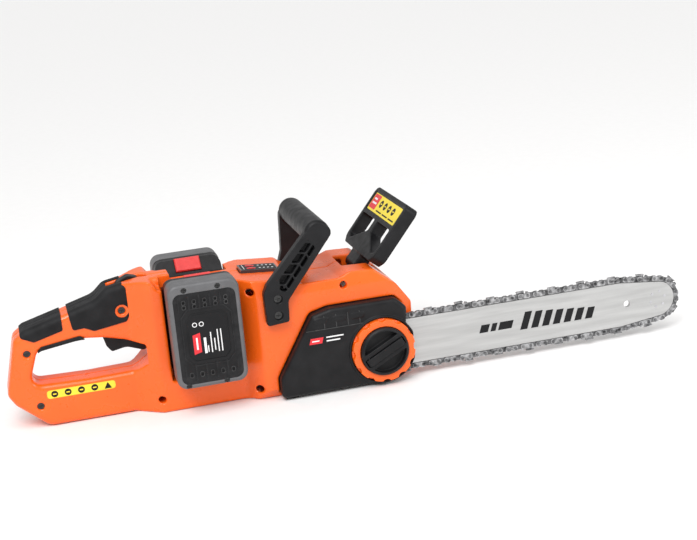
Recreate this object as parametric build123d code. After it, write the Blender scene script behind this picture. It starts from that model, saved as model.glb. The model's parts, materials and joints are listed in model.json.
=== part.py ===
from build123d import *
from math import acos, asin, atan2, cos, degrees, hypot, pi, sin, tan
import os

# Cordless chainsaw with two battery packs.  Millimetres.
# Working frame: X forward to the bar tip, Y to the saw's left, Z up, origin at the middle of the
# two battery packs.  SHIFT moves everything so that the origin is the middle of the footprint.
BASE_Z = -90.0                     # underside the saw stands on
REAR_X, TIP_X = -209.477, 542.273  # rear handle end, chain tip
RIGHT_Y, LEFT_Y = -82.0, 74.0      # knob grip face, left battery face
SHIFT = Pos(-(REAR_X + TIP_X) / 2, -(RIGHT_Y + LEFT_Y) / 2, -BASE_Z)

WALL = 3.0                         # moulded shell thickness
GRIP_HALF = 20.0                   # half width of the rear handle
WAIST_HALF = 38.0                  # half width of the body beside the packs
NOSE_HALF = 56.0                   # half width of the drive housing
SPINE_HALF = 12.0                  # half thickness of the wall between the packs

PACK_L, PACK_H = 75.0, 113.0       # battery pack along X and along Z
PACK_SCREWS = [(-20, 50), (15, 50), (-26, -53.4), (14, -53.4)]
PACK_IN, PACK_OUT = 12.5, 74.0     # battery pack from and to, across Y
BAY_GAP = 1.0                      # clearance round a pack in its bay

BAR_Z, BAR_Y, BAR_T = -50.0, -55.0, 4.2
BAR_HALF = 25.5                    # half height of the bar
GROOVE_W, GROOVE_D = 1.5, 7.5      # chain groove in the bar edge
NOSE_X, NOSE_R = 516.0, 20.0       # bar nose centre and radius
TAPER_X = 468.0                    # where the bar edges start to close in
STUD_X = 186.0                     # clamp stud and knob centre
SPROCKET_X = 122.0                 # drive shaft centre
CHAIN_LINKS = 52                   # drive links in the loop
RIVET_UP = 3.8                     # rivet line above the bar rail
RIVET_R = 1.7
WRAP_R = 24.0                      # rivet line radius round the drive sprocket
SHAFT_R = 5.0
COVER_IN, COVER_OUT = -50.0, -68.0 # sprocket cover from and to, across Y
RING_R, DISC_R = 34.8, 26.6        # tension ring and knob radii


# ---------------------------------------------------------------- helpers
def outline(corners, at):
    """Closed face through (a, b, corner radius) points; at() places a point in space."""
    edges, last, first = [], None, None
    count = len(corners)
    for i, corner in enumerate(corners):
        a, b = corner[:2]
        r = corner[2] if len(corner) > 2 else 0
        (a0, b0), (a1, b1) = corners[i - 1][:2], corners[(i + 1) % count][:2]
        ux, uy = (a - a0) / hypot(a - a0, b - b0), (b - b0) / hypot(a - a0, b - b0)
        vx, vy = (a1 - a) / hypot(a1 - a, b1 - b), (b1 - b) / hypot(a1 - a, b1 - b)
        turn = acos(max(-1, min(1, ux * vx + uy * vy)))
        t = r * tan(turn / 2)
        start, end = (a - ux * t, b - uy * t), (a + vx * t, b + vy * t)
        if last is not None and hypot(start[0] - last[0], start[1] - last[1]) > 1e-4:
            edges.append(Edge.make_line(at(*last), at(*start)))
        if t > 1e-6:
            nx, ny = vx - ux, vy - uy
            n = hypot(nx, ny)
            k = r / cos(turn / 2) - r
            edges.append(Edge.make_three_point_arc(at(*start), at(a + nx / n * k, b + ny / n * k),
                                                   at(*end)))
        first = first or start
        last = end
    if hypot(first[0] - last[0], first[1] - last[1]) > 1e-4:
        edges.append(Edge.make_line(at(*last), at(*first)))
    return Face(Wire(edges))


def side(corners, y0, y1):
    """Side-view outline (x, z) carried from y0 to y1."""
    face = outline(corners, lambda a, b: Vector(a, y0, b))
    return Part() + Solid.extrude(face, Vector(0, y1 - y0, 0))


def plan(corners, z0, z1):
    """Top-view outline (x, y) carried from z0 to z1."""
    face = outline(corners, lambda a, b: Vector(a, b, z0))
    return Part() + Solid.extrude(face, Vector(0, 0, z1 - z0))


def front(corners, x0, x1):
    """Front-view outline (y, z) carried from x0 to x1."""
    face = outline(corners, lambda a, b: Vector(x0, a, b))
    return Part() + Solid.extrude(face, Vector(x1 - x0, 0, 0))


def box(x0, x1, y0, y1, z0, z1):
    centre = Pos((x0 + x1) / 2, (y0 + y1) / 2, (z0 + z1) / 2)
    return centre * Box(abs(x1 - x0), abs(y1 - y0), abs(z1 - z0))


def rod(x, z, r, y0, y1):
    """Round bar along Y."""
    return Pos(x, (y0 + y1) / 2, z) * Rot(90, 0, 0) * Cylinder(r, abs(y1 - y0))


def tube(x, z, r_out, r_in, y0, y1):
    return rod(x, z, r_out, y0, y1) - rod(x, z, r_in, y0 - 1 if y0 < y1 else y0 + 1,
                                          y1 + 1 if y0 < y1 else y1 - 1)


def soft(part, y, size):
    """Bevel the rim of the face that lies furthest towards y."""
    return chamfer(rim(part, y), size)


def rounded(part, y, size):
    """Round the rim of the face that lies furthest towards y."""
    return fillet(rim(part, y), size)


def rim(part, y):
    pick = part.faces().sort_by(Axis.Y)
    return (pick[-1] if y > 0 else pick[0]).edges()


def mirrored(part):
    return mirror(part, about=Plane.XZ)


def flipped(part):
    """The same pieces on the other side of the saw."""
    return group([mirrored(Part() + s) for s in part.solids()])


def group(parts):
    return Compound(children=[p for part in parts for p in part.solids()])


# ---------------------------------------------------------------- housing halves
HANDLE = [(-210, -50, 8), (-196, 9, 8), (-184, 17, 6), (-143, 28, 60), (-107, 38, 25),
          (-95, 49, 12), (-66, 54, 20), (-26, 54), (-26, -90), (-171, -90, 14), (-203, -62, 10)]
HAND_HOLE = [(-173, -6, 9), (-128, 0, 60), (-103, -3, 30), (-56, -16, 8), (-56, -32, 10),
             (-74, -44, 14), (-124, -45, 60), (-186, -43, 10)]
BODY = [(-80, -90), (214, -90, 12), (227, -72, 6), (228, -8, 4), (211, 16, 6), (187, 36, 5),
        (160, 37, 5), (148, 32, 6), (106, 32, 5), (99, 38.5, 5), (44, 43.5, 5), (-42, 44, 3),
        (-50, 55, 5), (-60, 55, 6), (-80, 52, 3)]
PLAN_HALF = [(-80, GRIP_HALF - 4), (-52, WAIST_HALF, 10), (40, WAIST_HALF, 8), (58, NOSE_HALF, 10),
             (206, NOSE_HALF, 14), (230, 46, 6)]
SECTION = [(0, -91), (WAIST_HALF + 8, -91), (NOSE_HALF, -80), (NOSE_HALF, 22), (NOSE_HALF - 9, 60),
           (0, 60)]
COVER = [(112, -1, 6), (132, 4, 10), (205, 4, 8), (217, -8, 5), (210, -80, 9), (196, -88, 5),
         (72, -88, 5), (72, -66, 8)]
# screw x, z, depth of the head seat, length of the boss
SCREWS = [(-184, -7, 15, 18), (-178, -66, 15, 18), (-52, -76, 15, 35), (-81, 24, 15, 18),
          (52, -78, 32, 44), (52, 30, 32, 44), (152, 24, 32, 49)]
GAUGE = Pos(71, 0, 41.2) * Rot(0, 5.2, 0)


def grown(corners, d):
    """Outline corners pushed out from their middle by about d."""
    cx = sum(c[0] for c in corners) / len(corners)
    cz = sum(c[1] for c in corners) / len(corners)
    return [(c[0] + (d if c[0] > cx else -d), c[1] + (d if c[1] > cz else -d)) + c[2:]
            for c in corners]


def shell_outer():
    """Right half, drawn towards -Y, before it is hollowed."""
    handle = rounded(side(HANDLE, 0, -GRIP_HALF) - side(HAND_HOLE, 1, -30), -1, 6)
    body = side(BODY, 0, -NOSE_HALF)
    half = [(-80, 0)] + [(c[0], -c[1]) + c[2:] for c in PLAN_HALF] + [(230, 0)]
    body &= plan(half, -100, 70)
    body &= front([(-c[0], c[1]) + c[2:] for c in SECTION], -90, 240)
    return handle + (body - side(HAND_HOLE, 1, -30))


def shell_hollows(depth):
    """Inner spaces of one half, towards -Y, reaching depth in the drive housing."""
    grip = side([(-176, 4, 3), (-141, 22, 20), (-109, 30, 10), (-94, 43, 6), (-60, 47, 4),
                 (-53, 47, 4), (-53, -8, 3), (-102, 3, 10), (-130, 7, 10), (-170, 1, 2)], 1, -17)
    foot = side([(-182, -60, 5), (-170, -84, 6), (-62, -84, 3), (-62, -52, 5), (-184, -50, 4)], 1, -17)
    spine = box(-50, 34, 1.5, -(SPINE_HALF - WALL), -83, 41)
    below = box(-52, 43, 2, -34, -86, -61)
    drive = side([(46, -86, 3), (212, -86, 8), (223, -70, 4), (224, -10, 3), (207, 13, 5),
                  (184, 31, 3), (163, 32, 3), (150, 27, 4), (102, 27, 4), (96, 33, 4), (46, 37, 3)],
                 1, -depth)
    trim = plan([(40, 3), (40, -33), (60, -NOSE_HALF + WALL, 6), (205, -NOSE_HALF + WALL, 10),
                 (227, -43, 4), (227, 3)], -100, 60)
    return [grip, foot, spine, below, drive & trim]


def bay():
    """Pocket for the pack, open above and outwards."""
    hx, hz = PACK_L / 2 + BAY_GAP, PACK_H / 2 + BAY_GAP
    return box(-hx, hx, -SPINE_HALF, -NOSE_HALF - 5, -hz, 90)


def housing_half(is_right):
    depth = 47.0 if is_right else NOSE_HALF - WALL
    part = shell_outer()
    for hollow in shell_hollows(depth) + [bay()]:
        part -= hollow
    for x, z, seat, boss in SCREWS:
        part += rod(x, z, 4.5, 0, -boss)
    # cheeks that carry the guard pin
    part += box(170, 191, -22, -27, 16, 33)
    # trigger slot under the grip, lock-off slot on top, guard slot in the deck
    part -= box(-108, -46, 1, -7.5, -30, 3) + box(-92, -50, 1, -6.5, 36, 60)
    part -= box(160, 207, 1, -22, 18, 60)
    part -= GAUGE * Box(42, 25.6, 9)
    part -= box(-24.4, 24.4, -8, -13, -48.4, -29.6)
    part -= rod(*GUARD_PIVOT, 3.0, 0, -30) + rod(*TRIGGER_PIVOT, 2.0, 1, -12.1)
    for x, z, seat, boss in SCREWS:
        part -= rod(x, z, 1.82, 1, -seat - 1 if is_right else -12.5)
        if is_right:
            part -= rod(x, z, 4.0, -seat, -60)
    if is_right:
        part -= side(grown(COVER, 0.6), COVER_IN, -NOSE_HALF - 5)
        part -= rod(SPROCKET_X, BAR_Z, SHAFT_R + 1, -40, -60)
        part -= rod(STUD_X, BAR_Z, 4.0, -40, -60)
        part -= box(150, 240, COVER_IN, -70, BAR_Z - 40, BAR_Z + 40)
        return part + rod(*BRAKE_PIVOT, 2.0, -47.5, -28.5)
    part -= rod(184, -14, 13, -40, -70)
    for i in range(5):
        x = 86 + i * 13
        part -= side([(x, -76, 2), (x + 5, -76, 2), (x + 5, -30, 2), (x, -30, 2)], -48, -60)
    return mirrored(part)


# ---------------------------------------------------------------- grips and labels
SKIN = 1.3
GRIP_REAR = [(-189, 12, 3), (-186, 26, 4), (-144, 36, 4), (-144, 13, 2), (-175, 5, 3)]
GRIP_FRONT = [(-138, 40, 3), (-112, 46, 6), (-100, 60, 4), (-82, 60, 3), (-72, 46, 4), (-67, 30, 4),
              (-77, 12, 4), (-112, 7, 6), (-122, 12, 4), (-134, 11, 3)]
GRIP_UNDER = [(-175, -9, 2), (-169, -1, 2), (-127, 4.5, 3), (-121, -3, 2)]


def grip_pads(is_right):
    """Three soft skins on one half of the rear handle."""
    core = outline(HANDLE, lambda a, b: Vector(a, 0, b))
    wide = offset(core, SKIN, kind=Kind.ARC)
    skin = rounded(Part() + Solid.extrude(wide.faces()[0], Vector(0, -GRIP_HALF - SKIN, 0)), -1, 7)
    skin -= shell_outer()
    skin -= side(HAND_HOLE, 2, -30) + box(-93, -40, 2, -8, 36, 70) + rod(-81, 24, 7, -10, -30)
    part = group([skin & side(patch, 0, -30) for patch in (GRIP_REAR, GRIP_FRONT, GRIP_UNDER)])
    return part if is_right else flipped(part)


# ---------------------------------------------------------------- front handle
# legs as outline, rib pocket, rib line from and to, and screw places: right leg, then left leg
LEG_RIGHT = ([(64, -5, 3), (88, -3, 3), (89, 20, 10), (141, 84, 5), (142, 93, 9), (124, 100, 10),
              (108, 84, 20), (67, 39, 8), (63, 30, 6)],
             [(81, 32, 3), (88, 30, 3), (129, 80, 3), (129, 88, 3), (121, 88, 3), (82, 45, 4)],
             (85, 34), (127, 85.5), [(78, 23), (77, 5)])
LEG_LEFT = ([(106, -5, 3), (132, -5, 3), (133, 24, 10), (142, 84, 5), (142, 93, 9), (124, 100, 10),
             (112, 86, 10), (110, 42, 8), (106, 30, 6)],
            [(116, 34, 3), (127, 34, 3), (134, 80, 3), (134, 89, 3), (121, 89, 3), (118, 80, 4)],
            (121, 35), (128, 87), [(119, 22), (118, 4)])
LEG_IN, LEG_OUT = NOSE_HALF + 0.2, NOSE_HALF + 11


def handle_leg(leg, s):
    """Flat leg on side s with a pocket that is crossed by a herringbone of ribs."""
    shape, pocket, low, high, screws = leg
    part = side(shape, s * LEG_IN, s * LEG_OUT) - side(pocket, s * (LEG_IN + 3), s * (LEG_OUT + 1))
    run = hypot(high[0] - low[0], high[1] - low[1])
    lean = degrees(atan2(high[1] - low[1], high[0] - low[0]))
    ribs = box(0, run, s * LEG_IN, s * LEG_OUT, -1.1, 1.1)
    for k in range(5):
        for turn in (-120, 120):
            rib = box(0, 11.5, s * LEG_IN, s * (LEG_OUT - 0.5), -0.9, 0.9)
            ribs += Pos((k + 0.3) * run / 5, 0, 0) * Rot(0, turn, 0) * rib
    part += Pos(low[0], 0, low[1]) * Rot(0, -lean, 0) * ribs & side(shape, s * LEG_IN, s * LEG_OUT)
    for x, z in screws:
        part -= rod(x, z, 2.2, s * (LEG_IN - 1), s * (LEG_OUT + 1))
        part -= rod(x, z, 4.6, s * (LEG_IN + 5), s * (LEG_OUT + 1))
    return part


def front_handle():
    """Hoop handle: a leaning right leg, a steeper left leg and a round tube across the top."""
    top = rod(127, 87, 14.0, -LEG_OUT, LEG_OUT)
    top = fillet(top.edges(), 5)
    return handle_leg(LEG_RIGHT, -1) + handle_leg(LEG_LEFT, 1) + top


def cross_screw(x, z, y_seat, s, r_head=3.6, r_body=1.8, length=14):
    """Pan-head screw driven along Y from side s, head seated at y_seat."""
    head = rod(x, z, r_head, y_seat, y_seat + s * 2.4)
    head -= box(x - 2.2, x + 2.2, y_seat + s * 1.2, y_seat + s * 3, z - 0.45, z + 0.45)
    head -= box(x - 0.45, x + 0.45, y_seat + s * 1.2, y_seat + s * 3, z - 2.2, z + 2.2)
    return head + rod(x, z, r_body, y_seat + s * 0.5, y_seat - s * length)


def front_handle_screws():
    return group([cross_screw(x, z, s * (NOSE_HALF + 5.2), s, 4.2, 2.1, 5.1)
                  for s, leg in ((-1, LEG_RIGHT), (1, LEG_LEFT)) for x, z in leg[-1]])


def housing_screws():
    return group([cross_screw(x, z, -seat, -1, length=seat + 12) for x, z, seat, boss in SCREWS])


# ---------------------------------------------------------------- hand guard and brake
GUARD_PIVOT, GUARD_LEAN = (182.0, 30.0), 40.0


def hand_guard():
    """Framed plate that leans forward, on a narrow neck that is hinged in the deck."""
    frame_face = [(-50, 12, 8), (-58, 20, 8), (-58, 85, 8), (58, 85, 8), (58, 20, 8), (50, 12, 8)]
    panel = front(frame_face, -9, 6)
    for s in (-1, 1):
        window = [(s * 6, 52, 2), (s * 51, 52, 3), (s * 51, 24, 4), (s * 42, 20, 4), (s * 6, 38, 2)]
        panel -= front(window, -12, 12)
    panel -= front([(-52, 56, 3), (-52, 80, 3), (52, 80, 3), (52, 56, 3)], -12, -7.8)
    neck = box(-8, 6, -17, 17, 4, 22) + rod(0, 0, 8.5, -17, 17)
    part = panel + neck - rod(0, 0, 3.05, -20, 20)
    px, pz = GUARD_PIVOT
    return Pos(px, 0, pz) * Rot(0, GUARD_LEAN, 0) * part


def guard_pin():
    return rod(*GUARD_PIVOT, 3.0, -26, 26)


# ---------------------------------------------------------------- sprocket cover and knob
def on_stud(part, turn=0):
    """Place a piece drawn about the Y axis on the clamp stud, turned in its own plane."""
    return Pos(STUD_X, 0, BAR_Z) * Rot(0, turn, 0) * part


def sprocket_cover():
    shell = rounded(side(COVER, COVER_IN, COVER_OUT), -1, 5)
    part = shell - side(grown(COVER, -2.4), COVER_IN + 1, COVER_OUT + 2.6)
    # open front for the bar and chain
    part -= box(196, 230, COVER_IN + 1, BAR_Y - 7, BAR_Z - 40, BAR_Z + 40)
    # collar and floor round the knob
    recess = on_stud(rod(0, 0, RING_R + 0.6, COVER_OUT + 4, COVER_OUT - 6))
    collar = on_stud(tube(0, 0, RING_R + 3.0, RING_R + 0.6, COVER_OUT + 7, COVER_OUT - 2.5))
    floor = on_stud(tube(0, 0, RING_R + 1.6, 9, COVER_OUT + 7, COVER_OUT + 4))
    part -= recess
    part += collar & box(120, 221, -55, -90, -88, 20)
    part += floor & box(120, 215, -55, -90, -86, 20)
    # raised creases along the top edge and a foot at the rear
    for k in range(3):
        x = 112 + 20 * k
        part += side([(x, -10, 1), (x + 15, -10, 1), (x + 17, -5, 1), (x + 2, -5, 1)],
                     COVER_OUT + 1, COVER_OUT - 1.2)
    return part + box(76, 90, COVER_IN, COVER_OUT + 6, BASE_Z, -86)


def tension_ring():
    ring = rod(0, 0, RING_R, COVER_OUT + 3.6, COVER_OUT - 7)
    for i in range(12):
        a = 2 * pi * i / 12
        ring -= rod((RING_R + 3) * cos(a), (RING_R + 3) * sin(a), 5.5, COVER_OUT - 1, COVER_OUT - 9)
    ring = ring - rod(0, 0, DISC_R + 0.3, COVER_OUT + 1.2, COVER_OUT - 9) - \
        rod(0, 0, 9, COVER_OUT + 5, COVER_OUT - 9)
    return on_stud(ring)


KNOB_TURN = -27.0                  # lever angle in the side view
LEVER_Y = (COVER_OUT - 5.4, COVER_OUT - 14.0)


def knob_pivot_pin():
    """Pin across the knob that the lever folds about."""
    pin = Pos(-19, sum(LEVER_Y) / 2, 0) * Cylinder(1.2, 17)
    return on_stud(pin, KNOB_TURN)


def clamp_knob():
    disc = soft(rod(0, 0, DISC_R, COVER_OUT + 0.8, COVER_OUT - 12), -1, 2)
    bowl = rod(0, 0, DISC_R - 3.5, COVER_OUT - 4.5, COVER_OUT - 14)
    disc -= bowl & (box(-60, 60, 0, -120, 9.5, 60) + box(-60, 60, 0, -120, -60, -9.5))
    disc -= box(-24, 24, COVER_OUT - 5, COVER_OUT - 14, -4.6, 4.6)
    disc += tube(0, 0, 8.4, 4.05, COVER_OUT + 10, COVER_OUT)
    disc -= rod(0, 0, 4.05, COVER_OUT + 2, COVER_OUT - 4)
    disc -= Pos(-19, sum(LEVER_Y) / 2, 0) * Cylinder(1.2, 17)
    return on_stud(disc, KNOB_TURN)


def knob_lever():
    """Grip bar that folds out of the knob."""
    y0, y1 = LEVER_Y
    lever = plan([(-23.3, y0, 4.29), (-23.3, y1, 4.29), (23, y1, 2.5), (23, y0, 2)], -4.2, 4.2)
    lever -= Pos(-19, (y0 + y1) / 2, 0) * Cylinder(1.25, 20)
    return on_stud(lever, KNOB_TURN)


# ---------------------------------------------------------------- bar and chain
def bar_outline(grow):
    """Bar profile about its own axis: straight rails, a closing taper and a round nose."""
    a = asin((BAR_HALF - NOSE_R) / (NOSE_X - TAPER_X))
    h, n = BAR_HALF + grow, NOSE_R + grow
    p0, p1 = (205, h), (TAPER_X, h)
    m1 = (TAPER_X + h * sin(a / 2), h * cos(a / 2))
    p2 = (TAPER_X + h * sin(a), h * cos(a))
    p3 = (NOSE_X + n * sin(a), n * cos(a))
    tip = (NOSE_X + n, 0)
    rear = 162 - grow
    at = lambda p: Vector(p[0], 0, p[1] + BAR_Z)
    low = lambda p: (p[0], -p[1])
    edges = [Edge.make_line(at(p0), at(p1)), Edge.make_three_point_arc(at(p1), at(m1), at(p2)),
             Edge.make_line(at(p2), at(p3)), Edge.make_three_point_arc(at(p3), at(tip), at(low(p3))),
             Edge.make_line(at(low(p3)), at(low(p2))),
             Edge.make_three_point_arc(at(low(p2)), at(low(m1)), at(low(p1))),
             Edge.make_line(at(low(p1)), at(low(p0))),
             Edge.make_line(at(low(p0)), at((rear + 6, -h + 4.5))),
             Edge.make_line(at((rear + 6, -h + 4.5)), at((rear, -h + 10))),
             Edge.make_line(at((rear, -h + 10)), at((rear, h - 10))),
             Edge.make_line(at((rear, h - 10)), at((rear + 6, h - 4.5))),
             Edge.make_line(at((rear + 6, h - 4.5)), at(p0))]
    return Face(Wire(edges))


def bar_slab(grow, y0, y1):
    return Pos(0, y0, 0) * (Part() + Solid.extrude(bar_outline(grow), Vector(0, y1 - y0, 0)))


def guide_bar():
    half = BAR_T / 2
    bar = bar_slab(0, BAR_Y - half, BAR_Y + half)
    groove = bar_slab(3, BAR_Y - GROOVE_W / 2, BAR_Y + GROOVE_W / 2) - \
        bar_slab(-GROOVE_D, BAR_Y - GROOVE_W, BAR_Y + GROOVE_W)
    bar -= groove
    # pocket for the nose sprocket between the outer plies, left round its hub
    bar -= tube(NOSE_X, BAR_Z, NOSE_R - 2, 3.0, BAR_Y - GROOVE_W / 2, BAR_Y + GROOVE_W / 2)
    # stud slot, tensioner hole, oil hole and hanging hole
    slot = [(176, -4.1, 4.09), (176, 4.1, 4.09), (203, 4.1, 4.09), (203, -4.1, 4.09)]
    bar -= side([(x, BAR_Z + z, r) for x, z, r in slot], BAR_Y - 5, BAR_Y + 5)
    bar -= rod(170, BAR_Z - 15, 3.2, BAR_Y - 5, BAR_Y + 5)
    bar -= rod(172, BAR_Z + 17, 1.2, BAR_Y - 5, BAR_Y + 5)
    bar -= rod(478, BAR_Z, 4.0, BAR_Y - 5, BAR_Y + 5)
    return bar


def nose_sprocket():
    star = rod(NOSE_X, BAR_Z, 6.0, BAR_Y - 0.6, BAR_Y + 0.6)
    for i in range(9):
        tooth = side([(-1.6, 4), (1.6, 4), (0.9, 11.2), (-0.9, 11.2)], BAR_Y - 0.6, BAR_Y + 0.6)
        tooth = tooth.moved(Location((NOSE_X, 0, BAR_Z)))
        star += tooth.rotate(Axis(Vector(NOSE_X, 0, BAR_Z), Vector(0, 1, 0)), 40 * i)
    return star - rod(NOSE_X, BAR_Z, 3.05, BAR_Y - 2, BAR_Y + 2)


def chain_points():
    """Rivet centres and headings (x, z, x', z') round the loop, rear to nose along the top."""
    rail = BAR_HALF + RIVET_UP
    rounds = [(SPROCKET_X, WRAP_R), (205.0, rail), (TAPER_X, rail), (NOSE_X, NOSE_R + RIVET_UP)]
    path, angle = [], pi
    for (c0, r0), (c1, r1) in zip(rounds, rounds[1:]):
        normal = pi / 2 + asin((r1 - r0) / (c1 - c0))
        path.append(("arc", c0, r0, angle, normal))
        path.append(("line", c0 + r0 * cos(normal), r0 * sin(normal),
                     c1 + r1 * cos(normal), r1 * sin(normal)))
        angle = normal
    path.append(("arc", rounds[-1][0], rounds[-1][1], angle, 0.0))
    lengths = [s[2] * (s[3] - s[4]) if s[0] == "arc" else hypot(s[3] - s[1], s[4] - s[2])
               for s in path]
    half = sum(lengths)

    def at(s):
        s %= 2 * half
        low = s > half
        s = 2 * half - s if low else s
        for seg, length in zip(path, lengths):
            if s <= length + 1e-9:
                if seg[0] == "arc":
                    a = seg[3] - s / seg[2]
                    x, z = seg[1] + seg[2] * cos(a), seg[2] * sin(a)
                else:
                    k = s / length
                    x, z = seg[1] + k * (seg[3] - seg[1]), seg[2] + k * (seg[4] - seg[2])
                return x, BAR_Z + (-z if low else z)
            s -= length
    step = 2 * half / (2 * CHAIN_LINKS)
    return [at(step * (i + 0.5)) for i in range(2 * CHAIN_LINKS)]


def place_link(shape, p, q):
    """Put a link drawn about (0, 0) between rivets p and q, outward side up."""
    angle = degrees(atan2(q[1] - p[1], q[0] - p[0]))
    link = Pos((p[0] + q[0]) / 2, BAR_Y, (p[1] + q[1]) / 2) * Rot(0, -angle, 0) * shape
    for x, z in (p, q):
        link -= rod(x, z, RIVET_R, BAR_Y - 4, BAR_Y + 4)
    return link


def chain_nodes():
    pts = chain_points()
    n = len(pts)
    drive = side([(-6.6, -2.4, 2), (-6.6, 2.6, 2), (6.6, 2.6, 2), (6.6, -2.4, 2), (2.2, -3.9, 1),
                  (1.4, -8.9, 1), (-2.2, -8.9, 1), (-3.6, -3.9, 1)], -0.62, 0.62)
    plate = [(-7.2, -3.05, 2.5), (-7.2, 2.9, 2.5), (-2, 2.9, 1), (0, 1.6, 1), (2, 2.9, 1),
             (7.2, 2.9, 2.5), (7.2, -3.05, 2.5)]
    tie_near, tie_far = side(plate, -2.0, -0.75), side(plate, 0.75, 2.0)
    tooth = [(-7.6, -3.05, 2), (-8.0, 4.4, 1), (1.2, 4.8, 0.6), (0.8, 1.6, 0.8), (2.8, 1.6, 0.8),
             (3.4, 4.2, 0.7), (6.4, 3.6, 1.2), (7.6, -3.05, 2)]
    top_near = side([(-8.0, 3.6), (-8.0, 4.6), (1.2, 5.0), (1.2, 4.0)], -3.4, 0.4)
    cutter_near = side(tooth, -2.1, -0.75) + top_near
    cutter_far = mirrored(cutter_near)
    drives, ties, left, right = [], [], [], []
    for i in range(CHAIN_LINKS):
        p, q, r = pts[2 * i], pts[2 * i + 1], pts[(2 * i + 2) % n]
        drives.append(place_link(drive, p, q))
        if i % 4 == 0:
            right.append(place_link(cutter_near, q, r))
            ties.append(place_link(tie_far, q, r))
        elif i % 4 == 2:
            left.append(place_link(cutter_far, q, r))
            ties.append(place_link(tie_near, q, r))
        else:
            ties += [place_link(tie_near, q, r), place_link(tie_far, q, r)]
    rivets = [rod(x, z, RIVET_R, BAR_Y - 2.5, BAR_Y + 2.5) for x, z in pts]
    return {"drive_links": drives, "tie_straps": ties, "cutters_left": left,
            "cutters_right": right, "chain_rivets": rivets}


# ---------------------------------------------------------------- drive
def about_shaft(part, turn=0):
    """Place a piece drawn about the Y axis on the drive shaft."""
    return Pos(SPROCKET_X, 0, BAR_Z) * Rot(0, turn, 0) * part


def drive_sprocket():
    hub = rod(0, 0, 10.5, BAR_Y - 3.5, BAR_Y + 3.5)
    tooth = side([(-2.6, 8), (2.6, 8), (1.8, 13.4), (-1.8, 13.4)], BAR_Y - 3.5, BAR_Y + 3.5)
    for i in range(6):
        hub += Rot(0, 60 * i, 0) * tooth
    return about_shaft(hub - rod(0, 0, SHAFT_R, BAR_Y - 6, BAR_Y + 6))


def drive_shaft():
    return rod(SPROCKET_X, BAR_Z, SHAFT_R, BAR_Y - 5, 50)


def brake_drum():
    drum = tube(SPROCKET_X, BAR_Z, 22, 19, -45, -35)
    return drum + tube(SPROCKET_X, BAR_Z, 20, SHAFT_R, -38, -35)


def brake_band():
    """Steel band wrapped round the drum, open to the front where the brake lever pulls it."""
    band = tube(SPROCKET_X, BAR_Z, 23.6, 22.5, -44, -36)
    band -= box(SPROCKET_X + 10, SPROCKET_X + 40, -30, -50, BAR_Z - 1, BAR_Z + 16)
    ear = box(SPROCKET_X + 17, SPROCKET_X + 18.2, -44, -36, BAR_Z + 15.6, BAR_Z + 28)
    return band + ear


BRAKE_PIVOT = (152.0, -14.0)


def brake_lever():
    """Crank under the guard that pulls on the band's ear."""
    px, pz = BRAKE_PIVOT
    crank = side([(px - 16, pz - 6, 2), (px - 16, pz + 2, 2), (px - 5, pz + 5, 3), (px + 10, pz + 26, 3),
                  (px + 16, pz + 26, 3), (px + 5, pz - 5, 4)], -32.5, -29.5)
    return crank - rod(px, pz, 2.05, -28, -34)


def stator():
    ring = tube(0, 0, 30, 25.5, -12, 32)
    tooth = box(-2.6, 2.6, -8, 28, 19, 26)
    for i in range(9):
        ring += Rot(0, 40 * i, 0) * tooth
    return about_shaft(ring)


def windings():
    coil = box(-5.0, 5.0, -11, 31, 20, 24.5) - box(-2.7, 2.7, -8.1, 28.1, 18, 26)
    return group([about_shaft(coil, 40 * i) for i in range(9)])


def rotor():
    return about_shaft(tube(0, 0, 18, SHAFT_R, -8, 28))


def fan():
    hub = tube(0, 0, 10, SHAFT_R, 35, 42)
    blade = box(-0.9, 0.9, 35, 42, 8, 27)
    for i in range(9):
        hub += Rot(0, 40 * i, 0) * blade
    return about_shaft(hub)


def bearings():
    return group([about_shaft(tube(0, 0, 11, SHAFT_R + 0.05, y, y + 7)) for y in (-27, 43.5)])


def motor_frame():
    """Cup that holds the stator and the near bearing, and a cap for the far bearing."""
    cup = tube(0, 0, 33, 30.05, -20, 34) + rod(0, 0, 33, -28, -20) - rod(0, 0, 11.05, -27.5, -15)
    cup -= rod(0, 0, 7, -30, -10)
    cap = tube(0, 0, 16, 11.05, 43.5, 52.5)
    return group([about_shaft(cup), about_shaft(cap)])


# ---------------------------------------------------------------- clamp, tension and oil parts
def bar_studs():
    stud = rod(STUD_X, BAR_Z, 4.0, -40, COVER_OUT - 3)
    flange = rod(STUD_X, BAR_Z, 9, -42, -40)
    return stud + flange


def clamp_plate():
    """Steel wear plate between housing and bar."""
    plate = side([(160, -75, 3), (160, -27, 3), (212, -27, 3), (212, -75, 3)], -50.1, -52.6)
    return plate - rod(STUD_X, BAR_Z, 4.3, -45, -60) - box(166, 178, -45, -60, BAR_Z - 19, BAR_Z - 11)


def tensioner_pin():
    block = box(168, 176, -57.6, -60.5, BAR_Z - 18, BAR_Z - 8)
    return block + rod(170, BAR_Z - 15, 3.0, -53, -60.5)


def oil_tank():
    tank = box(158, 210, -26, 50, -82.5, -6) - box(160, 208, -24, 48, -80.5, -8)
    neck = rod(184, -14, 12.5, 46, 54)
    return tank + neck - rod(184, -14, 9.2, 40, 60)


def oil_cap():
    cap = soft(rod(184, -14, 12.6, 54.4, 62), 1, 1.5)
    cap -= box(170, 198, 59.6, 64, -18.5, -16) + box(170, 198, 59.6, 64, -12, -9.5)
    return cap + rod(184, -14, 9.0, 50, 54.4)


def oil_pump():
    return box(146, 156.5, -46, -34, -84, -66) + rod(151, -64.5, 2.5, -44, -38)


# ---------------------------------------------------------------- switch gear
TRIGGER_PIVOT = (-58.0, -6.0)


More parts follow.
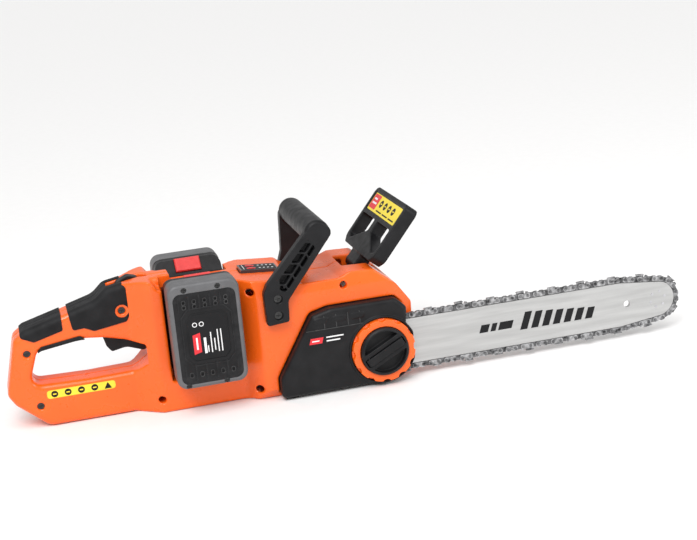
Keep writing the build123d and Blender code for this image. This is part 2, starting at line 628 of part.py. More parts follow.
def trigger():
    blade = side([(-104, -4, 2), (-101, -16, 3), (-96, -23, 3), (-80, -20, 14), (-62, -27, 5),
                  (-53, -21, 4), (-53, -1, 4), (-64, 1, 3), (-86, -1.5, 4)], -6.4, 6.4)
    return blade - rod(*TRIGGER_PIVOT, 2.05, -8, 8)


def trigger_pin():
    return rod(*TRIGGER_PIVOT, 2.0, -12, 12)


def trigger_spring():
    return Pos(-98, 0, 2.8) * Cylinder(2.4, 9.6)


def main_switch():
    return box(-92, -62, -7.2, 7.2, 5, 18.8) + box(-88, -84, -3, 3, 3.6, 5)


def lockoff_button():
    top = side([(-87, 44), (-81, 52, 3), (-70, 57, 6), (-60, 54.5, 4), (-54, 44)], -5.8, 5.8)
    stem = box(-84, -58, -5.8, 5.8, 38, 45)
    return top + stem


def lockoff_spring():
    return Pos(-71, 0, 33.3) * Cylinder(3, 9)


# ---------------------------------------------------------------- electronics
LENSES = [(-8, -5.5), (-8, 5.5)]   # one charge lamp for each pack, on the gauge panel


def gauge_panel():
    panel = Box(41.4, 25, 5.5)
    for x, y in LENSES:
        panel -= Pos(x, y, 2.75) * Cylinder(3.2, 1)
    return GAUGE * panel


def gauge_lenses():
    return group([GAUGE * Pos(x, y, 2.85) * Cylinder(3.0, 1.2) for x, y in LENSES])


def controller_board():
    board = box(-46, 34, -28, 28, -82, -80)
    board += box(-40, -8, -22, 22, -80, -70)
    for k in range(3):
        board += Pos(10 + 9 * k, -14, -75.5) * Cylinder(3.6, 9)
    return board


def dock(s):
    """Terminal block in the bay wall that the pack slides onto."""
    return box(-24, 24, s * 3.4, s * 11.9, -48, -30)


# ---------------------------------------------------------------- battery packs (drawn on the left side)
def pack_shell():
    hx, hz = PACK_L / 2, PACK_H / 2
    y_in = PACK_OUT - 25
    body = rounded(side([(-hx, -hz, 11), (-hx, hz, 11), (hx, hz, 11), (hx, -hz, 11)], y_in, PACK_OUT), 1, 4)
    body -= side([(-hx + 5, -hz + 5, 8), (-hx + 5, hz - 10, 8), (hx - 5, hz - 10, 8), (hx - 5, -hz + 5, 8)],
                 PACK_OUT - 3, PACK_OUT + 2)
    body -= side([(-hx + 2.5, -hz + 2.5, 5), (-hx + 2.5, hz - 2.5, 5), (hx - 2.5, hz - 2.5, 5),
                  (hx - 2.5, -hz + 2.5, 5)], y_in - 1, PACK_OUT - 6)
    for x, z in PACK_SCREWS:
        body += rod(x, z, 3.4, PACK_OUT - 16, PACK_OUT - 5) - rod(x, z, 1.3, PACK_OUT - 20, PACK_OUT)
        body -= rod(x, z, 2.9, PACK_OUT - 5, PACK_OUT + 2) + rod(x, z, 1.3, PACK_OUT - 20, PACK_OUT)
    return body


def pack_panel():
    """Ribbed black panel in the outer face."""
    hx, hz = PACK_L / 2, PACK_H / 2
    y0, y1 = PACK_OUT - 2.9, PACK_OUT - 0.6
    panel = side([(-hx + 5.2, -hz + 5.2, 8), (-hx + 5.2, hz - 10.2, 8), (hx - 5.2, hz - 10.2, 8),
                  (hx - 5.2, -hz + 5.2, 8)], y0, y1)
    for k in range(5):
        x = -22 + 11 * k
        panel -= box(x - 2.6, x + 2.6, y1 - 1.2, y1 + 1, 31, 33.4) + \
            box(x - 2.6, x + 2.6, y1 - 1.2, y1 + 1, 36, 38.4) + \
            box(x - 2.6, x + 2.6, y1 - 1.2, y1 + 1, -43, -40)
    label = [(-22, -20), (-16, -27), (16, -27), (22, -20), (22, 18), (16, 25), (-16, 25), (-22, 18)]
    for x, z in PACK_SCREWS:
        panel -= rod(x, z, 3.1, y0 - 1, y1 + 1)
    return panel - side(label, y1 - 0.9, y1 + 1)


LATCH = Pos(0, PACK_IN + 20.5, 49.5) * Rot(45, 0, 0)     # middle of the sloping latch face


def pack_core():
    """Inner half of the case with the sloping latch face."""
    hx, hz = PACK_L / 2 - 1.2, PACK_H / 2 - 1.2
    y_in, y_out = PACK_IN, PACK_OUT - 25.2
    core = side([(-hx, -hz, 9), (-hx, hz, 9), (hx, hz, 9), (hx, -hz, 9)], y_in, y_out)
    inner = side([(-hx + 2.5, -hz + 2.5, 3), (-hx + 2.5, hz - 2.5, 3), (hx - 2.5, hz - 2.5, 3),
                  (hx - 2.5, -hz + 2.5, 3)], y_in + 2.5, y_out + 1)
    wedge = LATCH * Pos(0, 0, 30) * Box(200, 120, 60) & box(-100, 100, 0, 200, 41, 200)
    core = core - wedge - (inner - Pos(0, 1.5, -2.5) * wedge)
    return core - LATCH * Pos(0, 0, -0.6) * Box(28.8, 17.8, 7.4)


def pack_cells():
    return group([Pos(0, y, -43.2 + 18.05 * k) * Rot(0, 90, 0) * Cylinder(9.0, 65)
                  for y in (PACK_OUT - 48.5, PACK_OUT - 29.8) for k in range(5)])


def pack_button():
    """Latch button on the sloping inner face."""
    button = Pos(0, 0, 0.6) * Box(28, 17, 4)
    return LATCH * chamfer(button.faces().sort_by(Axis.Z)[-1].edges(), 1)


def pack_screws():
    return group([cross_screw(x, z, PACK_OUT - 5, 1, 2.6, 1.3, 10) for x, z in PACK_SCREWS])


# ---------------------------------------------------------------- output
def build():
    nodes = {
        "right_housing": housing_half(True), "left_housing": housing_half(False),
        "right_grip_pads": grip_pads(True), "left_grip_pads": grip_pads(False),
        "front_handle": front_handle(), "front_handle_screws": front_handle_screws(),
        "housing_screws": housing_screws(), "hand_guard": hand_guard(), "guard_pin": guard_pin(),
        "sprocket_cover": sprocket_cover(), "tension_ring": tension_ring(),
        "clamp_knob": clamp_knob(), "knob_lever": knob_lever(), "knob_pin": knob_pivot_pin(),
        "guide_bar": guide_bar(), "nose_sprocket": nose_sprocket(), "drive_sprocket": drive_sprocket(),
        "drive_shaft": drive_shaft(), "brake_drum": brake_drum(), "brake_band": brake_band(),
        "brake_lever": brake_lever(), "motor_stator": stator(), "motor_windings": windings(),
        "motor_rotor": rotor(), "cooling_fan": fan(), "shaft_bearings": bearings(),
        "motor_frame": motor_frame(), "bar_stud": bar_studs(),
        "bar_plate": clamp_plate(), "tensioner_pin": tensioner_pin(), "oil_tank": oil_tank(),
        "oil_cap": oil_cap(), "oil_pump": oil_pump(), "trigger": trigger(),
        "trigger_pin": trigger_pin(), "trigger_spring": trigger_spring(),
        "main_switch": main_switch(), "lockoff_button": lockoff_button(),
        "lockoff_spring": lockoff_spring(), "gauge_panel": gauge_panel(),
        "gauge_lenses": gauge_lenses(), "controller_board": controller_board(),
    }
    for name, solids in chain_nodes().items():
        nodes[name] = group(solids)
    pack = {"shell": pack_shell(), "panel": pack_panel(), "core": pack_core(),
            "cells": pack_cells(), "button": pack_button(), "screws": pack_screws()}
    for name, piece in pack.items():
        nodes["left_pack_" + name] = piece
        nodes["right_pack_" + name] = flipped(piece)
    nodes["terminal_blocks"] = group([dock(-1), dock(1)])
    return nodes


os.makedirs("parts", exist_ok=True)
for name, shape in build().items():
    export_step(SHIFT * shape, "parts/" + name + ".step")
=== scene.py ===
import json
import math
import bmesh
import bpy
from mathutils import Matrix, Vector

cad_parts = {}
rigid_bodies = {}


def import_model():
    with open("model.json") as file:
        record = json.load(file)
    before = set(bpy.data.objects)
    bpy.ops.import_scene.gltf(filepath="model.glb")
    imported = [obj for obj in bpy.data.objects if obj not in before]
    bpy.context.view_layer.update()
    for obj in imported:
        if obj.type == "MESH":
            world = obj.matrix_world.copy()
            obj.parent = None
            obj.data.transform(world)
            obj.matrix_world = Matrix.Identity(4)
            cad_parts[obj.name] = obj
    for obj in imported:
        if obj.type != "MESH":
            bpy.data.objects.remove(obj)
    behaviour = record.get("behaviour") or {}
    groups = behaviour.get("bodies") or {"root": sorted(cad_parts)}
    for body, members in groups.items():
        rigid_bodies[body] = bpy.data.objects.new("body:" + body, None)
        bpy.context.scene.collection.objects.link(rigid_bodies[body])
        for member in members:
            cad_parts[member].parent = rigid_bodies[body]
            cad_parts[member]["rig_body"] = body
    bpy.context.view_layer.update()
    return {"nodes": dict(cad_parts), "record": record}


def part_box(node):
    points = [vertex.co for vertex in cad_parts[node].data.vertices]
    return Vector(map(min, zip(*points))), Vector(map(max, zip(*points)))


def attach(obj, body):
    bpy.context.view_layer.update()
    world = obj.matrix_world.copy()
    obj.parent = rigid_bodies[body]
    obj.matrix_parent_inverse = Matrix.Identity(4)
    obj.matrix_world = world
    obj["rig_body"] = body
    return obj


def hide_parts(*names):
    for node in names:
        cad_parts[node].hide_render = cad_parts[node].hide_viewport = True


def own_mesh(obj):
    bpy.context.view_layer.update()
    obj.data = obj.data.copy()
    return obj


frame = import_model()
NODES = frame["nodes"]
MM = 0.001


# ---------------------------------------------------------------- placing
# Working points are in millimetres from the middle of the two packs: X forward, Y left, Z up.
PACK_MID = Vector((-0.166398, 0.004, 0.090))   # that middle in the shared frame, metres
PACK_OUT = 74.0                                # pack faces, from the centre plane
COVER_OUT = 68.0                               # sprocket cover face, from the centre plane
STRIP_OUT = 20.0                               # rear handle side, from the centre plane
BAR_LINE = -50.0                               # height of the bar's middle line


def at(x, y, z):
    return PACK_MID + Vector((x, y, z)) * MM


# ---------------------------------------------------------------- materials
LABEL_GRAIN = {"grain": 900, "grain_depth": 0.004}     # smooth film: labels, prints and the gauge
EDGE_POINTINESS = (0.52, 0.60)                         # where an edge begins to look worn, and is fully worn


def node(tree, kind, **sockets):
    made = tree.nodes.new(kind)
    for name, value in sockets.items():
        made.inputs[name.replace("_", " ")].default_value = value
    return made


def noise(tree, scale, detail=3.0, stretch=(1, 1, 1)):
    """Noise value over the object's own coordinates, scale in cells per metre."""
    coords = tree.nodes.new("ShaderNodeTexCoord")
    mapping = node(tree, "ShaderNodeMapping", Scale=stretch)
    made = node(tree, "ShaderNodeTexNoise", Scale=scale, Detail=detail)
    tree.links.new(coords.outputs["Object"], mapping.inputs["Vector"])
    tree.links.new(mapping.outputs["Vector"], made.inputs["Vector"])
    return made.outputs["Fac"]


def spread(tree, fac, low, high, start=0.3, end=0.7):
    """Value that runs from low to high as fac runs from start to end."""
    made = node(tree, "ShaderNodeMapRange", From_Min=start, From_Max=end, To_Min=low, To_Max=high)
    tree.links.new(fac, made.inputs["Value"])
    return made.outputs["Result"]


def blend_colour(tree, fac, a, b):
    """Colour that runs from a to b with fac; either may be a colour or a socket."""
    made = tree.nodes.new("ShaderNodeMix")
    made.data_type = "RGBA"
    colour_a, colour_b, colour_out = made.inputs[6], made.inputs[7], made.outputs[2]
    for socket, value in ((colour_a, a), (colour_b, b)):
        if isinstance(value, bpy.types.NodeSocket):
            tree.links.new(value, socket)
        else:
            socket.default_value = (*value, 1)
    tree.links.new(fac, made.inputs[0])
    return colour_out


def material(name, colour, rough, metal=0.0, mottle=0.07, mottle_scale=60, grain=900, grain_depth=0.02,
             wear=0.0, wear_colour=None, stretch=(1, 1, 1), specular=0.5, coat=0.0):
    """Moulded or machined surface: uneven tone, uneven gloss, fine grain and paler worn edges."""
    mat = bpy.data.materials.new(name)
    mat.use_nodes = True
    tree = mat.node_tree
    shader = tree.nodes["Principled BSDF"]
    shader.inputs["Metallic"].default_value = metal
    shader.inputs["Specular IOR Level"].default_value = specular
    shader.inputs["Coat Weight"].default_value = coat
    shader.inputs["Coat Roughness"].default_value = 0.12
    cloud = noise(tree, mottle_scale, 4, stretch)
    dark = tuple(c * (1 - mottle) for c in colour)
    light = tuple(min(1, c * (1 + mottle) + 0.01 * mottle) for c in colour)
    tone = blend_colour(tree, spread(tree, cloud, 0, 1), dark, light)
    if wear:
        geometry = tree.nodes.new("ShaderNodeNewGeometry")
        edge = spread(tree, geometry.outputs["Pointiness"], 0, 1, *EDGE_POINTINESS)
        patchy = tree.nodes.new("ShaderNodeMath")
        patchy.operation = "MULTIPLY"
        tree.links.new(edge, patchy.inputs[0])
        tree.links.new(spread(tree, noise(tree, 220, 5), 0, wear), patchy.inputs[1])
        tone = blend_colour(tree, patchy.outputs[0], tone,
                            wear_colour or tuple(min(1, c * 1.35 + 0.05) for c in colour))
    tree.links.new(tone, shader.inputs["Base Color"])
    gloss = noise(tree, mottle_scale * 2.3, 5, stretch)
    tree.links.new(spread(tree, gloss, max(0.02, rough - 0.07), rough + 0.07), shader.inputs["Roughness"])
    bump = node(tree, "ShaderNodeBump", Strength=1.0, Distance=grain_depth * MM)
    tree.links.new(noise(tree, grain, 2, stretch), bump.inputs["Height"])
    tree.links.new(bump.outputs["Normal"], shader.inputs["Normal"])
    return mat


ORANGE = material("orange_abs", (0.93, 0.125, 0.006), 0.30, mottle=0.05, mottle_scale=25, grain=1400,
                  grain_depth=0.010, wear=0.35, coat=0.1)
BLACK = material("black_texture", (0.010, 0.010, 0.011), 0.42, mottle=0.2, grain=2600, grain_depth=0.02,
                 wear=0.4, wear_colour=(0.04, 0.04, 0.042), specular=0.2)
RUBBER = material("grip_rubber", (0.011, 0.011, 0.012), 0.60, mottle=0.25, grain=1800, grain_depth=0.06,
                  wear=0.4, wear_colour=(0.045, 0.045, 0.045), specular=0.18)
CHARCOAL = material("charcoal_case", (0.11, 0.11, 0.115), 0.46, mottle=0.12, grain=2400, grain_depth=0.03,
                    wear=0.6, wear_colour=(0.16, 0.16, 0.17))
RED = material("red_button", (0.62, 0.022, 0.02), 0.36, mottle=0.08, grain=1500, grain_depth=0.01, wear=0.3)
BAR = material("bar_steel", (0.52, 0.52, 0.515), 0.36, metal=0.8, mottle=0.10, mottle_scale=14, grain=160,
               grain_depth=0.006, stretch=(1, 1, 14))
CHAIN = material("chain_steel", (0.045, 0.045, 0.048), 0.40, metal=0.6, mottle=0.7, mottle_scale=180,
                 grain=900, grain_depth=0.02, wear=0.8, wear_colour=(0.65, 0.65, 0.66))
STEEL = material("plain_steel", (0.55, 0.55, 0.57), 0.30, metal=1.0, mottle=0.12, mottle_scale=120,
                 grain=700, grain_depth=0.01)
LINK = material("drive_link_steel", (0.02, 0.02, 0.021), 0.42, metal=0.5, mottle=0.5, mottle_scale=180,
                grain=900, grain_depth=0.02, wear=0.6, wear_colour=(0.4, 0.4, 0.41), specular=0.3)
SCREW = material("blackened_screw", (0.06, 0.06, 0.06), 0.38, metal=0.8, mottle=0.2, mottle_scale=300,
                 grain=900, grain_depth=0.01)
ALUMINIUM = material("cast_aluminium", (0.70, 0.71, 0.73), 0.48, metal=1.0, mottle=0.1, grain=1200,
                     grain_depth=0.04)
COPPER = material("enamelled_copper", (0.62, 0.25, 0.09), 0.30, metal=0.9, mottle=0.15, grain=600,
                  grain_depth=0.05, stretch=(1, 6, 1))
TANK = material("tank_plastic", (0.72, 0.70, 0.62), 0.45, mottle=0.05, grain=900, grain_depth=0.02)
BOARD = material("circuit_board", (0.02, 0.16, 0.07), 0.40, mottle=0.15, grain=900, grain_depth=0.02)
SLEEVE = material("cell_sleeve", (0.04, 0.22, 0.42), 0.32, mottle=0.08, grain=900, grain_depth=0.01)
# A paler black than BLACK, with worn edges. On the cover's crease lines this paler tone is painted highlight.
# Round the pack slots it draws a paler raised rim.
PALE_BLACK = material("pale_black", (0.028, 0.028, 0.029), 0.38, mottle=0.2, grain=1500, grain_depth=0.01,
                wear=0.4, wear_colour=(0.1, 0.1, 0.1), specular=0.3)
YELLOW = material("label_yellow", (0.88, 0.70, 0.04), 0.38, mottle=0.04, **LABEL_GRAIN)
LABEL_RED = material("label_red", (0.72, 0.02, 0.03), 0.36, mottle=0.04, **LABEL_GRAIN)
INK = material("print_black", (0.009, 0.009, 0.010), 0.42, mottle=0.1, specular=0.2, **LABEL_GRAIN)
WHITE = material("print_white", (0.82, 0.82, 0.82), 0.42, mottle=0.03, **LABEL_GRAIN)
SMOKED = material("smoked_panel", (0.035, 0.036, 0.042), 0.20, mottle=0.1, coat=0.4, **LABEL_GRAIN)

LOOK = {"orange_plastic": ORANGE, "grip_rubber": RUBBER, "black_plastic": BLACK, "red_plastic": RED,
        "grey_plastic": CHARCOAL, "bar_steel": BAR, "chain_steel": CHAIN, "steel": STEEL,
        "aluminium": ALUMINIUM, "copper": COPPER, "tank_plastic": TANK, "circuit_board": BOARD,
        "cell_sleeve": SLEEVE}
SLOT_OF = {s["node"]: s["material_slot"] for s in frame["record"]["subparts"]}


def dress(obj, mat):
    obj.data.materials.clear()
    obj.data.materials.append(mat)


for name, obj in NODES.items():
    dress(obj, LOOK[SLOT_OF[name]])
for name in ("housing_screws", "front_handle_screws", "left_pack_screws", "right_pack_screws"):
    dress(NODES[name], SCREW)
for name in ("drive_links", "chain_rivets"):
    dress(NODES[name], LINK)
dress(NODES["gauge_panel"], SMOKED)


# ---------------------------------------------------------------- softened mouldings
def smooth_by_angle(obj, degrees=35):
    """Smooth shading that keeps edges sharper than the angle crisp."""
    for p in obj.data.polygons:
        p.use_smooth = True
    mesh = obj.data
    sharp = mesh.attributes.get("sharp_edge") or mesh.attributes.new("sharp_edge", "BOOLEAN", "EDGE")
    bm = bmesh.new()
    bm.from_mesh(mesh)
    limit = math.radians(degrees)
    flags = [len(e.link_faces) != 2 or e.calc_face_angle(0) > limit for e in bm.edges]
    bm.free()
    sharp.data.foreach_set("value", flags)


def moulded(name, voxel, rounds, reach=0.5):
    """A moulding with small radii on its edges: the CAD node's form, remeshed in voxels and relaxed."""
    source = NODES[name]
    piece = bpy.data.objects.new(name + "_moulded", source.data.copy())
    bpy.context.scene.collection.objects.link(piece)
    remesh = piece.modifiers.new("remesh", "REMESH")
    remesh.mode = "VOXEL"
    remesh.voxel_size = voxel * MM * 1
    relax = piece.modifiers.new("relax", "SMOOTH")
    relax.factor = reach
    relax.iterations = rounds
    graph = bpy.context.evaluated_depsgraph_get()
    mesh = bpy.data.meshes.new_from_object(piece.evaluated_get(graph))
    piece.modifiers.clear()
    piece.data = mesh
    for p in mesh.polygons:
        p.use_smooth = True
    dress(piece, source.data.materials[0])
    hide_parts(name)
    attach(piece, source["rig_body"])
    return piece


# Node, voxel size in millimetres, rounds of relaxing. The pack cores stay as in the CAD, so that their latch
# buttons keep their clearance.
MOULDINGS = [("right_housing", 1.1, 9), ("left_housing", 1.1, 9), ("front_handle", 0.65, 10),
             ("hand_guard", 0.8, 10), ("sprocket_cover", 0.75, 7), ("right_grip_pads", 0.5, 7),
             ("left_grip_pads", 0.5, 7), ("tension_ring", 0.5, 6), ("clamp_knob", 0.45, 5),
             ("knob_lever", 0.45, 5), ("right_pack_shell", 0.65, 6), ("left_pack_shell", 0.65, 6),
             ("trigger", 0.5, 6), ("lockoff_button", 0.5, 6), ("oil_cap", 0.5, 4)]
moulded_names = {m[0] for m in MOULDINGS}
for name, voxel, rounds in MOULDINGS:
    moulded(name, voxel, rounds)
for name, obj in NODES.items():
    if name not in moulded_names:
        smooth_by_angle(obj)


# ---------------------------------------------------------------- thin raised pieces
def finished(bm, name, mat, body):
    """Object made from a mesh under construction, dressed and riding its body."""
    bmesh.ops.recalc_face_normals(bm, faces=bm.faces)
    mesh = bpy.data.meshes.new(name)
    bm.to_mesh(mesh)
    bm.free()
    obj = bpy.data.objects.new(name, mesh)
    bpy.context.scene.collection.objects.link(obj)
    dress(obj, mat)
    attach(obj, body)
    return obj


def slab(name, corners, push, mat, body):
    """Closed plate with the given corner points, pushed out along a vector."""
    bm = bmesh.new()
    base = [bm.verts.new(c) for c in corners]
    top = [bm.verts.new(c + push) for c in corners]
    bm.faces.new(base)
    bm.faces.new(top)
    for i in range(len(corners)):
        j = (i + 1) % len(corners)
        bm.faces.new((base[i], base[j], top[j], top[i]))
    return finished(bm, name, mat, body)


def rounded(points, radius, steps=4):
    """2D outline with its corners rounded."""
    out, n = [], len(points)
    for i, (x, y) in enumerate(points):
        p = Vector((x, y))
        a, b = Vector(points[i - 1]) - p, Vector(points[(i + 1) % n]) - p
        r = min(radius, a.length / 2.1, b.length / 2.1)
        start, end = p + a.normalized() * r, p + b.normalized() * r
        for k in range(steps + 1):
            t = k / steps
            out.append(tuple(start * (1 - t) ** 2 + p * 2 * t * (1 - t) + end * t * t))
    return out


class Face:
    """Flat region for print: origin and two directions in millimetres, and the outward normal."""

    def __init__(self, origin, along, up, normal, body, slot_name, prefix):
        self.origin, self.along, self.up, self.normal = (Vector(v) for v in (origin, along, up, normal))
        self.body, self.slot_name, self.prefix, self.count = body, slot_name, prefix, 0

    def print(self, points, mat, height=0.12, lift=0.0, radius=0.0):
        """Raised print with outline points (u, v)."""
        if radius:
            points = rounded(points, radius)
        corners = [at(*(self.origin + self.along * u + self.up * v + self.normal * lift)) for u, v in points]
        self.count += 1
        return slab(f"{self.prefix}_{self.count}", corners, self.normal * height * MM, mat, self.body)

    def rim(self, outer, width, mat, height):
        """Raised rim that follows an outline, width millimetres wide, inside it."""
        mid = Vector((sum(p[0] for p in outer), sum(p[1] for p in outer))) / len(outer)
        loops = []
        for lift, inset in ((0, 0), (height, 0), (height, width), (0, width)):
            loops.append([])
            for u, v in outer:
                p = Vector((u, v)) - mid
                p -= p.normalized() * inset
                spot = self.origin + self.along * (mid.x + p.x) + self.up * (mid.y + p.y) + self.normal * lift
                loops[-1].append(at(*spot))
        bm = bmesh.new()
        rings = [[bm.verts.new(c) for c in loop] for loop in loops]
        for a, b in zip(rings, rings[1:] + rings[:1]):
            for i in range(len(a)):
                j = (i + 1) % len(a)
                bm.faces.new((a[i], a[j], b[j], b[i]))
        self.count += 1
        return finished(bm, f"{self.prefix}_{self.count}", mat, self.body)

    def bar(self, u, v, w, h, mat, height=0.12, lift=0.0, lean=0.0):
        """Box from the corner (u, v), leaning forward by lean for each unit of height."""
        s = lean * h
        return self.print([(u, v), (u + w, v), (u + w + s, v + h), (u + s, v + h)], mat, height, lift)

    def disc(self, u, v, r, mat, height=0.12, lift=0.0, sides=24):
        turns = [2 * math.pi * k / sides for k in range(sides)]
        return self.print([(u + r * math.cos(a), v + r * math.sin(a)) for a in turns], mat, height, lift)


# ---------------------------------------------------------------- return springs
def coil(node_name, foot, length, radius, wire, turns):
    """Wound spring in place of a plain CAD cylinder."""
    steps, sides = turns * 16, 8               # steps along the wire, corners of its section
    bm = bmesh.new()
    rings = []
    for i in range(steps + 1):
        a = 2 * math.pi * turns * i / steps
        outward = Vector((math.cos(a), math.sin(a), 0))
        climb = wire + (length - 2 * wire) * i / steps
        centre = Vector(foot) + outward * (radius - wire) + Vector((0, 0, climb))
        rings.append([])
        for k in range(sides):
            b = 2 * math.pi * k / sides
            spot = centre + outward * wire * math.cos(b) + Vector((0, 0, wire * math.sin(b)))
            rings[-1].append(bm.verts.new(at(*spot)))
    for a, b in zip(rings, rings[1:]):
        for k in range(sides):
            j = (k + 1) % sides
            bm.faces.new((a[k], a[j], b[j], b[k]))
    bm.faces.new(rings[0])
    bm.faces.new(rings[-1])
    spring = finished(bm, node_name + "_coil", STEEL, "saw")
    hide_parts(node_name)
    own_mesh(spring)


coil("trigger_spring", (-98, 0, -2.0), 9.6, 2.4, 0.35, 6)
coil("lockoff_spring", (-71, 0, 28.8), 9.0, 3.0, 0.4, 5)


# ---------------------------------------------------------------- packs
def pack_details(side, sign):
    """Ribs and a generic label on the pack's outer panel."""
    body, slot_name = side + "_pack", "black_plastic"
    u = Vector((-sign, 0, 0))
    face = Face((0, sign * (PACK_OUT - 0.6), 0), u, (0, 0, 1), (0, sign, 0), body, slot_name,
                side + "_pack_rib")
    for k in range(6):
        x = -27.5 + 11 * k
        for v0, v1 in ((28, 44), (-48, -30)):
            face.bar(x - 0.8, v0, 1.6, v1 - v0, BLACK, 0.6, -0.1)
        if k < 5:
            for v0, v1 in ((29.6, 34.6), (34.8, 39.8), (-44.5, -38.5)):
                slot_edge = [(x + 3.3, v0), (x + 7.7, v0), (x + 7.7, v1), (x + 3.3, v1)]
                face.rim(rounded(slot_edge, 2), 0.7, PALE_BLACK, 0.45)
    frame_pts = [(-24, -21), (-17, -29), (17, -29), (24, -21), (24, 19), (17, 27), (-17, 27), (-24, 19)]
    label = Face((0, sign * (PACK_OUT - 1.5), 0), u, (0, 0, 1), (0, sign, 0), body, slot_name,
                 side + "_pack_label")
    face.rim([(x * 1.12, z * 1.12) for x, z in frame_pts], 1.5, BLACK, 0.6)
    inner = [(x * 0.84, (z + 1) * 0.84 - 1) for x, z in frame_pts]
    label.print(inner, INK, 0.25)
    label.print([(-16.5, -20), (-8.5, -18), (-8.5, 3), (-16.5, 1)], LABEL_RED, 0.1, 0.25)
    label.bar(-13.4, -15, 1.8, 13, WHITE, 0.06, 0.35)
    for k, (v, h) in enumerate([(-20, 17), (-19, 7), (-20, 22), (-18, 13), (-20, 24), (-20, 24)]):
        label.bar(-5.4 + 3.6 * k, v, 2.6 if k == 0 else 1.1, h, WHITE, 0.08, 0.25)
    for u0 in (-13, -6):
        label.disc(u0, 12, 2.6, WHITE, 0.08, 0.25)
        label.disc(u0, 12, 1.8, INK, 0.08, 0.28)


pack_details("right", -1)
pack_details("left", 1)

# ---------------------------------------------------------------- deck gauge
GAUGE_TILT = math.radians(5.2)
gauge_along = (math.cos(GAUGE_TILT), 0, -math.sin(GAUGE_TILT))
gauge_out = Vector((math.sin(GAUGE_TILT), 0, math.cos(GAUGE_TILT)))
gauge = Face(Vector((71, 0, 41.2)) + gauge_out * 2.75, gauge_along, (0, 1, 0), gauge_out, "saw",
             "black_plastic", "gauge_print")
gauge.print([(-19, -11), (19, -11), (19, 11), (-19, 11)], INK, 0.15, 0, 2)
gauge.bar(-16.5, -9, 0.8, 18, WHITE, 0.1, 0.15)
for v0 in (-5.5, 5.5):
    gauge.print([(-13, v0 - 2.6), (-3, v0 - 2.6), (-3, v0 + 2.6), (-13, v0 + 2.6)], LABEL_RED, 0.12,
                0.15, 2.4)
    gauge.bar(-10.5, v0 - 0.4, 5, 0.8, WHITE, 0.05, 0.27)
    for j in range(4):
        gauge.disc(1.5 + 4.6 * j, v0, 1.2, WHITE, 0.12, 0.15, 16)

# ---------------------------------------------------------------- bar print
bar_y = (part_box("guide_bar")[0].y - PACK_MID.y) / MM
bar = Face((0, bar_y, BAR_LINE), (1, 0, 0), (0, 0, 1), (0, -1, 0), "guide_bar", "bar_steel", "bar_print")
PRINT_LEAN = 0.35                              # slant of the bar's stripes
for u0, w in ((300, 10), (313, 6), (322, 16)):
    bar.bar(u0, -5, w, 9, INK, 0.05, 0, PRINT_LEAN)
for k in range(7):
    bar.bar(348 + 13 * k, -9, 8.5, 20 - 1.2 * k, INK, 0.05, 0, PRINT_LEAN)
NOSE_MIDDLE, RIVET_RING = 516, 9               # nose sprocket's axis, radius of the ring of nose rivets
for k in range(6):
    turn = math.radians(60 * k + 15)
    bar.disc(NOSE_MIDDLE + RIVET_RING * math.cos(turn), RIVET_RING * math.sin(turn), 1.6, STEEL, 0.25, 0, 16)

# ---------------------------------------------------------------- guard label
GUARD_LEAN = math.radians(40)
guard_up = Vector((math.sin(GUARD_LEAN), 0, math.cos(GUARD_LEAN)))
guard_back = Vector((-math.cos(GUARD_LEAN), 0, math.sin(GUARD_LEAN)))
guard = Face(Vector((182, 0, 30)) + guard_back * 7.8, (0, -1, 0), guard_up, guard_back, "hand_guard",
             "black_plastic", "guard_label")
guard.print([(-50, 57.5), (50, 57.5), (50, 78.5), (-50, 78.5)], YELLOW, 0.3, 0, 2)
guard.print([(-49, 60), (-27, 60), (-27, 77.5), (-49, 77.5)], LABEL_RED, 0.1, 0.3, 1.5)
guard.bar(-45, 66, 14, 2.2, WHITE, 0.06, 0.4)
guard.bar(-45, 71, 10, 2.2, WHITE, 0.06, 0.4)
for k in range(4):
    guard.disc(-16 + 15 * k, 70, 4.6, INK, 0.1, 0.3)
    guard.bar(-18.5 + 15 * k, 69.3, 5, 1.4, YELLOW, 0.06, 0.4)
for k in range(3):
    guard.bar(-20 + 23 * k, 60, 19, 1.6, INK, 0.1, 0.3)

# ---------------------------------------------------------------- strip of signs on the rear handle
strip = Face((0, -STRIP_OUT, 0), (1, 0, 0), (0, 0, 1), (0, -1, 0), "saw", "orange_plastic", "handle_strip")
strip.print([(-170, -59), (-98, -59), (-98, -50), (-170, -50)], YELLOW, 0.16, 0, 3.5)
for k in range(5):
    u0 = -162 + 14 * k
    if k < 4:
        strip.disc(u0, -54.5, 3.6, INK, 0.1, 0.16)
        strip.bar(u0 - 1.8, -55.2, 3.6, 1.4, YELLOW, 0.06, 0.26)
    else:
        strip.print([(u0 - 4, -58), (u0 + 4, -58), (u0, -51)], INK, 0.1, 0.16)

# ---------------------------------------------------------------- cover label
cover = Face((0, -COVER_OUT, 0), (1, 0, 0), (0, 0, 1), (0, -1, 0), "saw", "black_plastic", "cover_label")
cover.print([(104, -34), (147, -34), (147, -23), (104, -23)], INK, 0.15, 0, 1.5)
# Crease lines on the cover: thin raised strips in the paler black, painted highlight along each crease.
cover.bar(104, -17.5, 62, 0.8, PALE_BLACK, 0.5)
for k in range(4):
    cover.bar(124 + 13 * k, -16.5, 0.8, 14, PALE_BLACK, 0.5)
cover.bar(106, -32, 14, 6.5, LABEL_RED, 0.08, 0.15, 0.3)
cover.bar(109, -29.5, 8, 1.2, WHITE, 0.05, 0.23, 0.3)
for k in range(2):
    cover.bar(125, -27 - 4 * k, 19 - 4 * k, 1.4, WHITE, 0.08, 0.15)

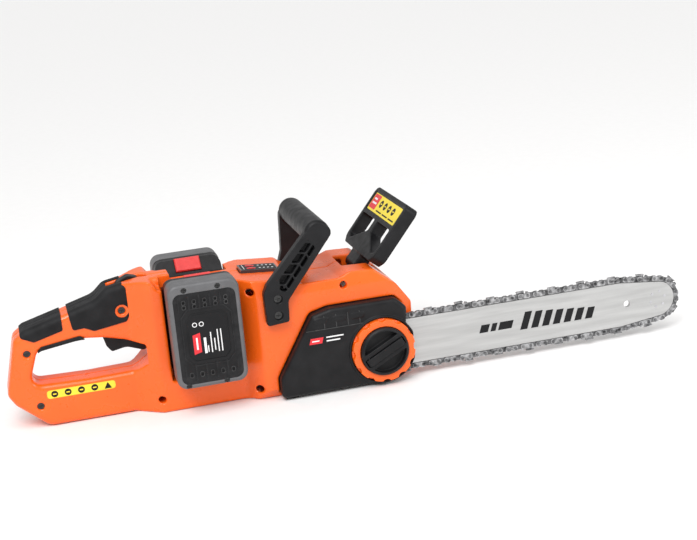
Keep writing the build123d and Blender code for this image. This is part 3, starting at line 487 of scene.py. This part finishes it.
# ---------------------------------------------------------------- studio
def area_light(name, place, aim, size, power):
    data = bpy.data.lights.new(name, "AREA")
    data.shape, data.size, data.energy = "DISK", size, power
    lamp = bpy.data.objects.new(name, data)
    bpy.context.scene.collection.objects.link(lamp)
    lamp.location = place
    lamp.rotation_euler = (Vector(aim) - Vector(place)).to_track_quat("-Z", "Y").to_euler()


def studio():
    floor_mesh = bpy.data.meshes.new("floor")
    reach, drop = 30.0, -0.0006                # half width of the floor and its height, metres
    corners = [(-reach, -reach, drop), (reach, -reach, drop), (reach, reach, drop), (-reach, reach, drop)]
    floor_mesh.from_pydata(corners, [], [(0, 1, 2, 3)])
    floor = bpy.data.objects.new("floor", floor_mesh)
    bpy.context.scene.collection.objects.link(floor)
    dress(floor, material("floor_paper", (0.90, 0.895, 0.89), 0.7, mottle=0.01, grain_depth=0.0))
    world = bpy.data.worlds.new("studio")
    world.use_nodes = True
    sky = world.node_tree.nodes["Background"]
    sky.inputs["Color"].default_value = (1, 1, 1, 1)
    sky.inputs["Strength"].default_value = 0.62
    bpy.context.scene.world = world
    bpy.context.scene.view_settings.view_transform = "Standard"
    sun = bpy.data.lights.new("sun", "SUN")
    sun.energy, sun.angle = 1.5, math.radians(50)
    lamp = bpy.data.objects.new("sun", sun)
    bpy.context.scene.collection.objects.link(lamp)
    lamp.rotation_euler = (math.radians(28), math.radians(-14), 0)
    area_light("key", (-0.7, -1.3, 1.5), (0.0, 0, 0.1), 0.8, 13)
    area_light("side", (1.4, -1.2, 0.9), (0.1, 0, 0.1), 0.8, 8)


def camera():
    """The photo's viewpoint, fitted to the packs, the body, the handles and the bar."""
    data = bpy.data.cameras.new("camera")
    data.sensor_width, data.lens = 36, 71.6
    cam = bpy.data.objects.new("camera", data)
    bpy.context.scene.collection.objects.link(cam)
    right = Vector((0.96232, -0.25713, -0.08842))
    up = Vector((0.15112, 0.23542, 0.96007))
    back = right.cross(up)
    place = at(-174.6, -1438.6, 431.5)
    cam.matrix_world = Matrix.Translation(place) @ Matrix((right, up, back)).transposed().to_4x4()
    data.clip_start, data.clip_end = 0.05, 100
    bpy.context.scene.camera = cam


studio()
camera()
